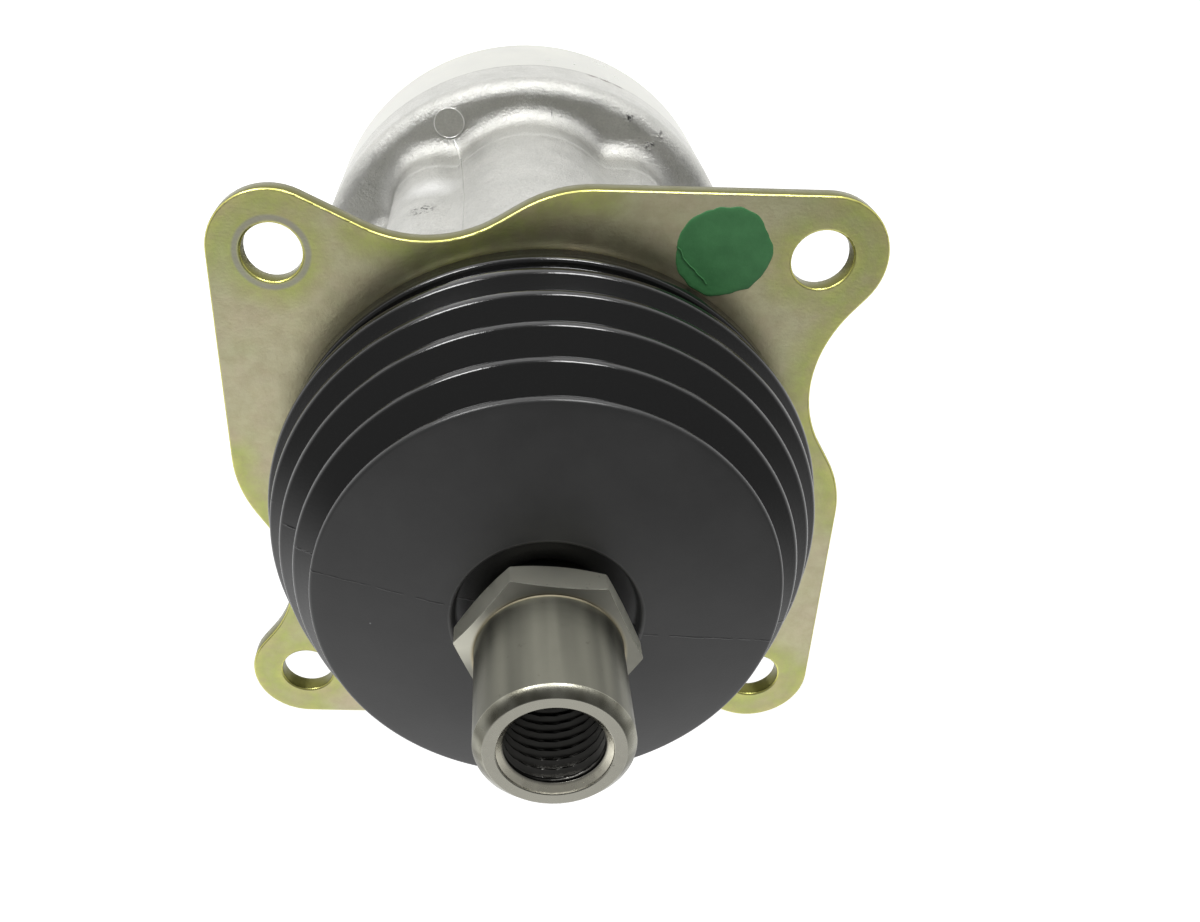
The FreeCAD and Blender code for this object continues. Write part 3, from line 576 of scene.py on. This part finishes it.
def finish_cad_nodes(finishes):
    """Give each CAD node the finish of its own slot."""
    for part in frame["record"]["subparts"]:
        node = frame["nodes"][part["node"]]
        node.data.materials.clear()
        node.data.materials.append(finishes[part["material_slot"]])


def new_piece(name, points, faces, material):
    """Smooth mesh with sharp corners kept, from points in millimetres."""
    mesh = bpy.data.meshes.new(name)
    mesh.from_pydata([Vector(point) * MM for point in points], [], faces)
    mesh.validate()
    mesh.polygons.foreach_set("use_smooth", [True] * len(mesh.polygons))
    mesh.materials.append(material)
    piece = bpy.data.objects.new(name, mesh)
    bpy.context.scene.collection.objects.link(piece)
    return piece


def keep_rest_place(piece):
    """Store each point's place at rest, so that the finish stays put when the piece bends."""
    places = [number for vertex in piece.data.vertices for number in vertex.co]
    rest = piece.data.attributes.new("rest_place", "FLOAT_VECTOR", "POINT")
    rest.data.foreach_set("vector", places)


def keep_corners(piece, degrees=32.0):
    piece.data.set_sharp_from_angle(angle=math.radians(degrees))


def lathe(name, rows, angles, material):
    """Closed mesh of rows round the Z axis. A row is a (radius, height) or one for each angle."""
    points = []
    for row in rows:
        pairs = row if isinstance(row, list) else [row] * len(angles)
        for (radius, height), angle in zip(pairs, angles):
            points.append((radius * math.cos(angle), radius * math.sin(angle), height))
    count = len(angles)
    faces = []
    for line in range(len(rows)):
        below = line * count
        above = (line + 1) % len(rows) * count
        for step in range(count):
            after = (step + 1) % count
            faces.append((below + step, below + after, above + after, above + step))
    return new_piece(name, points, faces, material)


def even_angles(count, start=0.0):
    return [start + 2 * math.pi * step / count for step in range(count)]


def rounded(corners, steps=4):
    """Open line through (radius, height, rounding) corners, with an arc at each rounding."""
    line = []
    for index, (x, z, size) in enumerate(corners):
        here = Vector((x, z))
        if size <= 0 or index in (0, len(corners) - 1):
            line.append((x, z))
            continue
        back = (Vector(corners[index - 1][:2]) - here)
        ahead = (Vector(corners[index + 1][:2]) - here)
        half = back.angle(ahead) / 2
        run = min(size / math.tan(half), 0.48 * back.length, 0.48 * ahead.length)
        radius = run * math.tan(half)
        middle = (back.normalized() + ahead.normalized()).normalized()
        centre = here + middle * radius / math.sin(half)
        first = here + back.normalized() * run - centre
        last = here + ahead.normalized() * run - centre
        turn = first.angle_signed(last)
        for step in range(steps + 1):
            spoke = first.copy()
            spoke.rotate(Matrix.Rotation(-turn * step / steps, 2))
            line.append(tuple(centre + spoke))
    return line


def boot_outside():
    """Corners of the boot's outer face, from the coupling's groove down to the plate."""
    corners = [
        (GROOVE_R, GROOVE_TOP_Z, 0), (BOOT_MOUTH_R - 0.5, GROOVE_TOP_Z, 0.4),
        (BOOT_MOUTH_R, BOOT_TOP_Z, 0.45),
    ]
    for step, radius in enumerate(LIP_RADII):
        height = TOP_LIP_Z - LIP_STEP * step
        corners += [
            (radius, height + LIP_ABOVE, RIM_ROUND), (radius, height - LIP_BELOW, RIM_UNDER_ROUND),
            (radius - PLEAT_DEPTH, height - PLEAT_DROP, 0.4),
        ]
    corners += [(BEAD_R - BEAD_ROUND, BEAD_TOP_Z + 0.5, 0.3), (BEAD_R - BEAD_ROUND, BEAD_TOP_Z, 0.2),
                (BEAD_R, BEAD_TOP_Z, BEAD_ROUND), (BEAD_R, BEAD_LOW_Z, 0)]
    return corners


def boot_inside():
    """Corners of the boot's inner face, from the plate up to the coupling's groove."""
    corners = [(BEAD_INNER_R, BEAD_LOW_Z, 0), (BEAD_INNER_R, BEAD_TOP_Z + 0.2, 0.3)]
    for step in reversed(range(len(LIP_RADII))):
        radius = LIP_RADII[step]
        height = TOP_LIP_Z - LIP_STEP * step
        corners += [
            (radius - PLEAT_DEPTH - BOOT_WALL, height - PLEAT_DROP - 0.2, 0.3),
            (radius - 1.7 * BOOT_WALL, height - 0.7, 0.3),
        ]
    corners += [(BOOT_MOUTH_R + BOOT_WALL, BOOT_TOP_Z - 1.6, 0.4), (BOOT_MOUTH_R + 0.9, GROOVE_LOW_Z, 0.3),
                (GROOVE_R, GROOVE_LOW_Z, 0)]
    return corners


def clipped(line, height, keep_above):
    """The part of a line of (radius, height) points on one side of a height."""
    kept = []
    for (r0, z0), (r1, z1) in zip(line, line[1:]):
        inside0 = (z0 >= height) == keep_above
        inside1 = (z1 >= height) == keep_above
        if inside0 and not kept:
            kept.append((r0, z0))
        if inside0 != inside1:
            share = (height - z0) / (z1 - z0)
            kept.append((r0 + (r1 - r0) * share, height))
        if inside1:
            kept.append((r1, z1))
    return kept


def make_boot(finishes):
    """Two halves that meet at a fold half way up."""
    outside = rounded(boot_outside())
    inside = rounded(boot_inside())
    halves = []
    for name, above in (("boot_upper", True), ("boot_lower", False)):
        rows = clipped(outside, BOOT_SEAM_Z, above) + clipped(inside, BOOT_SEAM_Z, above)
        half = lathe(name, rows, even_angles(BOOT_SIDES), finishes["boot_rubber"])
        keep_rest_place(half)
        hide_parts("boot")
        halves.append(half)
    upper, lower = halves
    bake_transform(lower)
    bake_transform(upper)


def hexagon_angles(per_side=24, corner_mm=0.12):
    """Angles round the hexagon, with two more close to each corner to round it."""
    corner_r = HEX_AF / math.sqrt(3)
    close = corner_mm / corner_r
    angles = []
    for side in range(6):
        start = HEX_TURN + side * math.pi / 3
        angles += [start - close, start, start + close]
        angles += [start + math.pi / 3 * step / per_side for step in range(1, per_side)]
    return angles


def hexagon_radius(angle, across_flats=HEX_AF):
    beside = (angle - HEX_TURN) % (math.pi / 3) - math.pi / 6
    return across_flats / 2 / math.cos(beside)


def make_coupling(finishes):
    """Hexagon sleeve with a cut thread in its bore."""
    foot_z, top_z = (corner.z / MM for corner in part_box("lever_coupling"))
    angles = hexagon_angles()
    flat_r = HEX_AF / 2
    corner_r = HEX_AF / math.sqrt(3)
    edge = 0.15
    blunt = [min(hexagon_radius(a), corner_r - 0.06) for a in angles]
    slope = HEX_CHAMFER / (corner_r + 0.2 - flat_r)
    chamfer = [(r, HEX_BACK_Z + 0.05 + slope * (r - flat_r)) for r in blunt]
    flank_r = SLEEVE_R + 0.5
    drop = [HEX_FRONT_DROP * (r - flank_r) for r in blunt]
    shoulder = [(r, HEX_FRONT_Z - HEX_EDGE - low) for r, low in zip(blunt, drop)]
    front = [(r - HEX_EDGE, HEX_FRONT_Z - low) for r, low in zip(blunt, drop)]
    rows = [
        (STUD_R, foot_z), (FOOT_R - edge, foot_z), (FOOT_R, foot_z + edge), (FOOT_R, foot_z + FOOT_H),
        (NECK_R, foot_z + FOOT_H), (NECK_R, foot_z + FOOT_H + NECK_H), (FOOT_R, foot_z + FOOT_H + NECK_H),
        (FOOT_R, HEX_BACK_Z), (flat_r - 0.1, HEX_BACK_Z), chamfer, shoulder, front,
        (flank_r, HEX_FRONT_Z), (SLEEVE_R + 0.1, HEX_FRONT_Z + 0.1),
        (SLEEVE_R, HEX_FRONT_Z + 0.35), (SLEEVE_R, top_z - SLEEVE_CHAMFER - 0.08),
        (SLEEVE_R - 0.05, top_z - SLEEVE_CHAMFER + 0.05),
        (SLEEVE_R - SLEEVE_CHAMFER + 0.06, top_z - 0.06), (SLEEVE_R - SLEEVE_CHAMFER - 0.06, top_z),
        (MOUTH_R + 0.08, top_z), (MOUTH_R - 0.04, top_z - 0.08),
    ]
    rows += thread_rows(angles, top_z)
    bore_floor = top_z - THREAD_DEPTH
    rows += [
        (THREAD_MINOR_R, bore_floor), (STUD_R - 0.4, bore_floor - 0.1),
        (STUD_R - 0.4, bore_floor - 1.5), (STUD_R, bore_floor - 1.6),
    ]
    coupling = lathe("lever_coupling_turned", rows, angles, finishes["nickel_steel"])
    keep_corners(coupling, 25.0)
    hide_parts("lever_coupling")
    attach(coupling, "stick")


def thread_rows(angles, top_z):
    """Rows down the bore that follow the thread's own helix."""
    rows = []
    run_in = MOUTH_R - THREAD_MINOR_R
    step = THREAD_PITCH / THREAD_ROWS
    count = int((THREAD_DEPTH - THREAD_RUN_OUT) / step)
    for index in range(count):
        height = top_z - THREAD_START - index * step
        cone_r = MOUTH_R - 0.1 - index * step
        row = []
        for angle in angles:
            phase = (height / THREAD_PITCH + angle / (2 * math.pi)) % 1.0
            flank = abs(phase - 0.5) * 2 * (1 + 2 * THREAD_FLAT) - THREAD_FLAT
            depth = min(max(flank, 0.0), 1.0)
            fade = min(1.0, (height - top_z + THREAD_DEPTH) / (2 * THREAD_PITCH),
                       max(0.0, (top_z - run_in - height) / THREAD_PITCH))
            radius = THREAD_MINOR_R + (THREAD_MAJOR_R - THREAD_MINOR_R) * depth * fade
            row.append((max(radius, cone_r), height))
        rows.append(row)
    return rows


def dressed_copy(node, name, whole_faces=True):
    """A copy of a CAD node's mesh with its seams welded and, if asked, its flat faces whole."""
    source = frame["nodes"][node]
    work = bmesh.new()
    work.from_mesh(source.data)
    bmesh.ops.remove_doubles(work, verts=work.verts, dist=0.002 * MM)
    if whole_faces:
        bmesh.ops.dissolve_limit(work, angle_limit=math.radians(0.5), verts=work.verts,
                                 edges=work.edges)
    mesh = bpy.data.meshes.new(name)
    work.to_mesh(mesh)
    work.free()
    piece = bpy.data.objects.new(name, mesh)
    bpy.context.scene.collection.objects.link(piece)
    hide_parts(node)
    return piece


def make_springs(finishes):
    """Smooth copies of the CAD springs in spring steel, which hide the CAD ones."""
    for kind, foot_share in (("return_spring", 0.0), ("metering_spring", SPOOL_BLEND)):
        for number in range(1, 5):
            node = f"{kind}_{number}"
            spring = dressed_copy(node, node + "_wound", whole_faces=False)
            spring.data.polygons.foreach_set("use_smooth", [True] * len(spring.data.polygons))
            spring.data.materials.clear()
            spring.data.materials.append(finishes["spring_steel"])
            keep_corners(spring, 40.0)
            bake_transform(spring)


def soften_edges(piece, width_mm, segments=2):
    """Round the sharp edges and keep the result in the mesh."""
    bevel = piece.modifiers.new("soft_edges", "BEVEL")
    bevel.width = width_mm * MM
    bevel.segments = segments
    bevel.limit_method = "ANGLE"
    bevel.angle_limit = math.radians(40)
    keep_result(piece)


def keep_result(piece):
    """Put what the modifiers make into the mesh itself."""
    graph = bpy.context.evaluated_depsgraph_get()
    made = bpy.data.meshes.new_from_object(piece.evaluated_get(graph))
    piece.modifiers.clear()
    piece.data = made


def sliced(work, axis, low, high, step):
    """Cut all faces into strips across an axis, so that they can hold a gradient."""
    count = int((high - low) / step)
    for index in range(1, count):
        place = Vector((0, 0, 0))
        place[axis] = low + index * step
        normal = Vector((0, 0, 0))
        normal[axis] = 1.0
        everything = work.verts[:] + work.edges[:] + work.faces[:]
        bmesh.ops.bisect_plane(work, geom=everything, plane_co=place, plane_no=normal, dist=1e-7)


def distance_to_rim(points, rims):
    """Shortest distance in plan from each point to the rim segments, in millimetres."""
    start = rims[:, 0]
    along = rims[:, 1] - start
    length2 = np.maximum((along ** 2).sum(1), 1e-12)
    result = []
    for point in points:
        share = np.clip(((point - start) * along).sum(1) / length2, 0, 1)
        gap = point - (start + along * share[:, None])
        result.append(math.sqrt((gap ** 2).sum(1).min()) / MM)
    return result


def make_plate(finishes):
    """Plate with rounded edges, and each point's distance from the outline for its colours."""
    plate = dressed_copy("mounting_plate", "mounting_plate_zinc")
    low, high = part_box("mounting_plate")
    rims = []
    for edge in plate.data.edges:
        ends = [plate.data.vertices[index].co for index in edge.vertices]
        if all(abs(end.z - high.z) < 1e-6 for end in ends):
            rims.append([end[:2] for end in ends])
    soften_edges(plate, PLATE_EDGE)
    work = bmesh.new()
    work.from_mesh(plate.data)
    for axis in (0, 1):
        sliced(work, axis, low[axis], high[axis], PLATE_GRID * MM)
    work.to_mesh(plate.data)
    work.free()
    outline = np.array([rim for rim in rims if math.dist(*rim) < PLATE_RIM_STEP * MM])
    points = [np.array(vertex.co[:2]) for vertex in plate.data.vertices]
    attribute = plate.data.attributes.new("edge_distance", "FLOAT", "POINT")
    attribute.data.foreach_set("value", distance_to_rim(points, outline))
    plate.data.materials.clear()
    plate.data.materials.append(finishes["yellow_zinc_steel"])
    keep_corners(plate, 40.0)
    rounded_faces = [abs(face.normal.z) < LEVEL_SHARE for face in plate.data.polygons]
    plate.data.polygons.foreach_set("use_smooth", rounded_faces)
    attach(plate, "root")


def make_paint_dab():
    """Thin dab of paint with an uneven rim and a scraped curl, on the plate."""
    count = PAINT_POINTS
    x, y = PAINT_PLACE
    rim = []
    for angle in even_angles(count):
        wave = noise.noise(Vector((math.cos(angle) * 1.3, math.sin(angle) * 1.3, 4.2)))
        fine = noise.noise(Vector((math.cos(angle) * 5.0, math.sin(angle) * 5.0, 1.7)))
        along_side = (angle / (2 * math.pi) * PAINT_SIDES) % 1.0 - 0.5
        side_r = PAINT_R / math.cos(PAINT_CORNER * along_side)
        radius = side_r - 0.35 + 0.4 * wave + 0.25 * fine
        rim.append((radius * math.cos(angle), radius * math.sin(angle)))
    points = []
    for share, height in ((1.0, 0.0), (0.995, 0.5), (0.97, 0.9), (0.9, 1.0)):
        points += [(x + px * share, y + py * share, PAINT_THICK * height) for px, py in rim]
    faces = []
    for row in range(3):
        for step in range(count):
            after = (step + 1) % count
            faces.append((row * count + step, row * count + after,
                          (row + 1) * count + after, (row + 1) * count + step))
    faces.append(tuple(3 * count + step for step in range(count)))
    faces.append(tuple(count - 1 - step for step in range(count)))
    dab = new_piece("paint_dab", points, faces, green_paint())
    keep_corners(dab, 60.0)
    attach(dab, "root")
    curl = [(x, y, PAINT_THICK + 0.03) for x, y in PAINT_CURL]
    thin_ridges("paint_curl", [(curl, False)], RIDGE_R, dab.data.materials[0])


def thin_ridges(name, lines, radius_mm, material):
    """Thin round ridges along lines of points. Each line comes with whether it closes."""
    curve = bpy.data.curves.new(name, "CURVE")
    curve.dimensions = "3D"
    curve.bevel_depth = radius_mm * MM
    curve.bevel_resolution = 2
    for points, closed in lines:
        spline = curve.splines.new("POLY")
        spline.points.add(len(points) - 1)
        for target, place in zip(spline.points, points):
            target.co = (*(Vector(place) * MM), 1.0)
        spline.use_cyclic_u = closed
    source = bpy.data.objects.new(name + "_line", curve)
    bpy.context.scene.collection.objects.link(source)
    graph = bpy.context.evaluated_depsgraph_get()
    mesh = bpy.data.meshes.new_from_object(source.evaluated_get(graph))
    bpy.data.objects.remove(source)
    mesh.polygons.foreach_set("use_smooth", [True] * len(mesh.polygons))
    mesh.materials.append(material)
    piece = bpy.data.objects.new(name, mesh)
    bpy.context.scene.collection.objects.link(piece)
    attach(piece, "root")


def on_casting(surface, turn, height):
    """Where a level line toward the Z axis, at a turn in degrees, meets the casting."""
    outward = Vector((math.cos(math.radians(turn)), math.sin(math.radians(turn)), 0.0))
    start = outward * cad_box[1].y + Vector((0.0, 0.0, height * MM))
    return surface.ray_cast(start, -outward)[0] / MM


def flash_line(surface, turned):
    """Points down the casting where the die halves met, close together at the fillet."""
    heights, turns = zip(*FLASH_PATH)
    line = []
    for step in range(FLASH_STEPS + 1):
        share = 1 - (1 - step / FLASH_STEPS) ** 2
        height = heights[0] + (heights[-1] - heights[0]) * share
        turn = np.interp(-height, [-each for each in heights], turns)
        line.append(on_casting(surface, turn + turned, height))
    return line


def make_die_marks(finishes):
    """Rims of the ejector marks, and the flash line on two sides of the column."""
    rims = []
    for quarter in range(4):
        heading = math.radians(MARK_ANGLE + 90 * quarter)
        x, y = MARK_PITCH_R * math.cos(heading), MARK_PITCH_R * math.sin(heading)
        height = FLANGE_TOP_Z + MARK_HEIGHT
        rims.append(([(x + MARK_R * math.cos(a), y + MARK_R * math.sin(a), height)
                      for a in even_angles(MARK_SIDES)], True))
    bright = bright_rim()
    thin_ridges("ejector_rims", rims, RIDGE_R, bright)
    casting = frame["nodes"]["valve_body"].data
    surface = BVHTree.FromPolygons([corner.co for corner in casting.vertices],
                                   [face.vertices for face in casting.polygons])
    flash = [flash_line(surface, turned) for turned in (0, 180)]
    thin_ridges("flash_lines", [(line, False) for line in flash], RIDGE_R,
                finishes["cast_aluminium"])
    scars = [([point for point in line if point.z < SCAR_TOP_Z], False) for line in flash]
    thin_ridges("flash_scars", scars, SCAR_R, bright)


def make_floor():
    """Wide pale floor that the valve's port face stands on."""
    low = cad_box[0].z
    mesh = bpy.data.meshes.new("floor")
    corners = [(x * FLOOR_REACH, y * FLOOR_REACH, low) for x, y in ((-1, -1), (1, -1), (1, 1), (-1, 1))]
    mesh.from_pydata(corners, [], [(0, 1, 2, 3)])
    mesh.materials.append(pale_floor())
    floor = bpy.data.objects.new("floor", mesh)
    bpy.context.scene.collection.objects.link(floor)


def make_camera():
    """Camera where the photographer's stood, turned and shifted as the photograph is."""
    data = bpy.data.cameras.new("photo_camera")
    data.sensor_width = SENSOR_WIDTH
    data.lens = FOCAL_PIXELS / PHOTO_WIDTH * SENSOR_WIDTH
    data.shift_x = (PHOTO_WIDTH / 2 - AXIS_PIXEL[0]) / PHOTO_WIDTH
    data.shift_y = (AXIS_PIXEL[1] - PHOTO_HEIGHT / 2) / PHOTO_WIDTH
    data.clip_start = 0.01
    right = Vector(CAMERA_RIGHT)
    up = Vector(CAMERA_UP)
    turn = Matrix((right, up, right.cross(up))).transposed()
    camera = bpy.data.objects.new("photo_camera", data)
    camera.matrix_world = Matrix.Translation(Vector(CAMERA_PLACE) * MM) @ turn.to_4x4()
    bpy.context.scene.collection.objects.link(camera)
    bpy.context.scene.camera = camera


def soft_light(name, place):
    """Upright lamp like a window, that shines on the middle of the valve."""
    data = bpy.data.lights.new(name, "AREA")
    data.shape = "RECTANGLE"
    data.size = LAMP_WIDTH
    data.size_y = LAMP_HEIGHT
    data.energy = LAMP_POWER
    light = bpy.data.objects.new(name, data)
    light.location = place
    light.rotation_euler = (-Vector(place)).to_track_quat("-Z", "Y").to_euler()
    bpy.context.scene.collection.objects.link(light)


def make_world():
    """A room that is bright low down, behind the valve and to its left, and dim overhead."""
    world = bpy.data.worlds.new("studio")
    world.use_nodes = True
    tree = world.node_tree
    direction = tree.nodes.new("ShaderNodeTexCoord").outputs["Generated"]
    toward = tree.nodes.new("ShaderNodeVectorMath")
    toward.operation = "DOT_PRODUCT"
    toward.inputs[1].default_value = Vector(BRIGHT_SIDE).normalized()
    tree.links.new(direction, toward.inputs[0])
    split = tree.nodes.new("ShaderNodeSeparateXYZ")
    tree.links.new(direction, split.inputs["Vector"])
    shares = []
    for source, settings in ((toward.outputs["Value"], (0.45, 0.85, ROOM_DIM, ROOM_BRIGHT)),
                             (split.outputs["Z"], (0.0, 0.5, HORIZON_GLOW, 0.0))):
        share = tree.nodes.new("ShaderNodeMapRange")
        share.interpolation_type = "SMOOTHSTEP"
        for key, number in zip(("From Min", "From Max", "To Min", "To Max"), settings):
            share.inputs[key].default_value = number
        tree.links.new(source, share.inputs["Value"])
        shares.append(share.outputs["Result"])
    total = tree.nodes.new("ShaderNodeMath")
    total.operation = "ADD"
    tree.links.new(shares[0], total.inputs[0])
    tree.links.new(shares[1], total.inputs[1])
    backdrop = tree.nodes["Background"]
    backdrop.inputs["Color"].default_value = (1.0, 1.0, 1.0, 1.0)
    tree.links.new(total.outputs["Value"], backdrop.inputs["Strength"])
    bpy.context.scene.world = world


def make_lights():
    make_world()
    soft_light("lamp_left", LAMP_LEFT)
    soft_light("lamp_right", LAMP_RIGHT)


bpy.context.scene.view_settings.view_transform = "Standard"
make_camera()
make_floor()
make_lights()
finishes = make_finishes()
finish_cad_nodes(finishes)
make_boot(finishes)
make_coupling(finishes)
make_springs(finishes)
make_plate(finishes)
make_paint_dab()
make_die_marks(finishes)
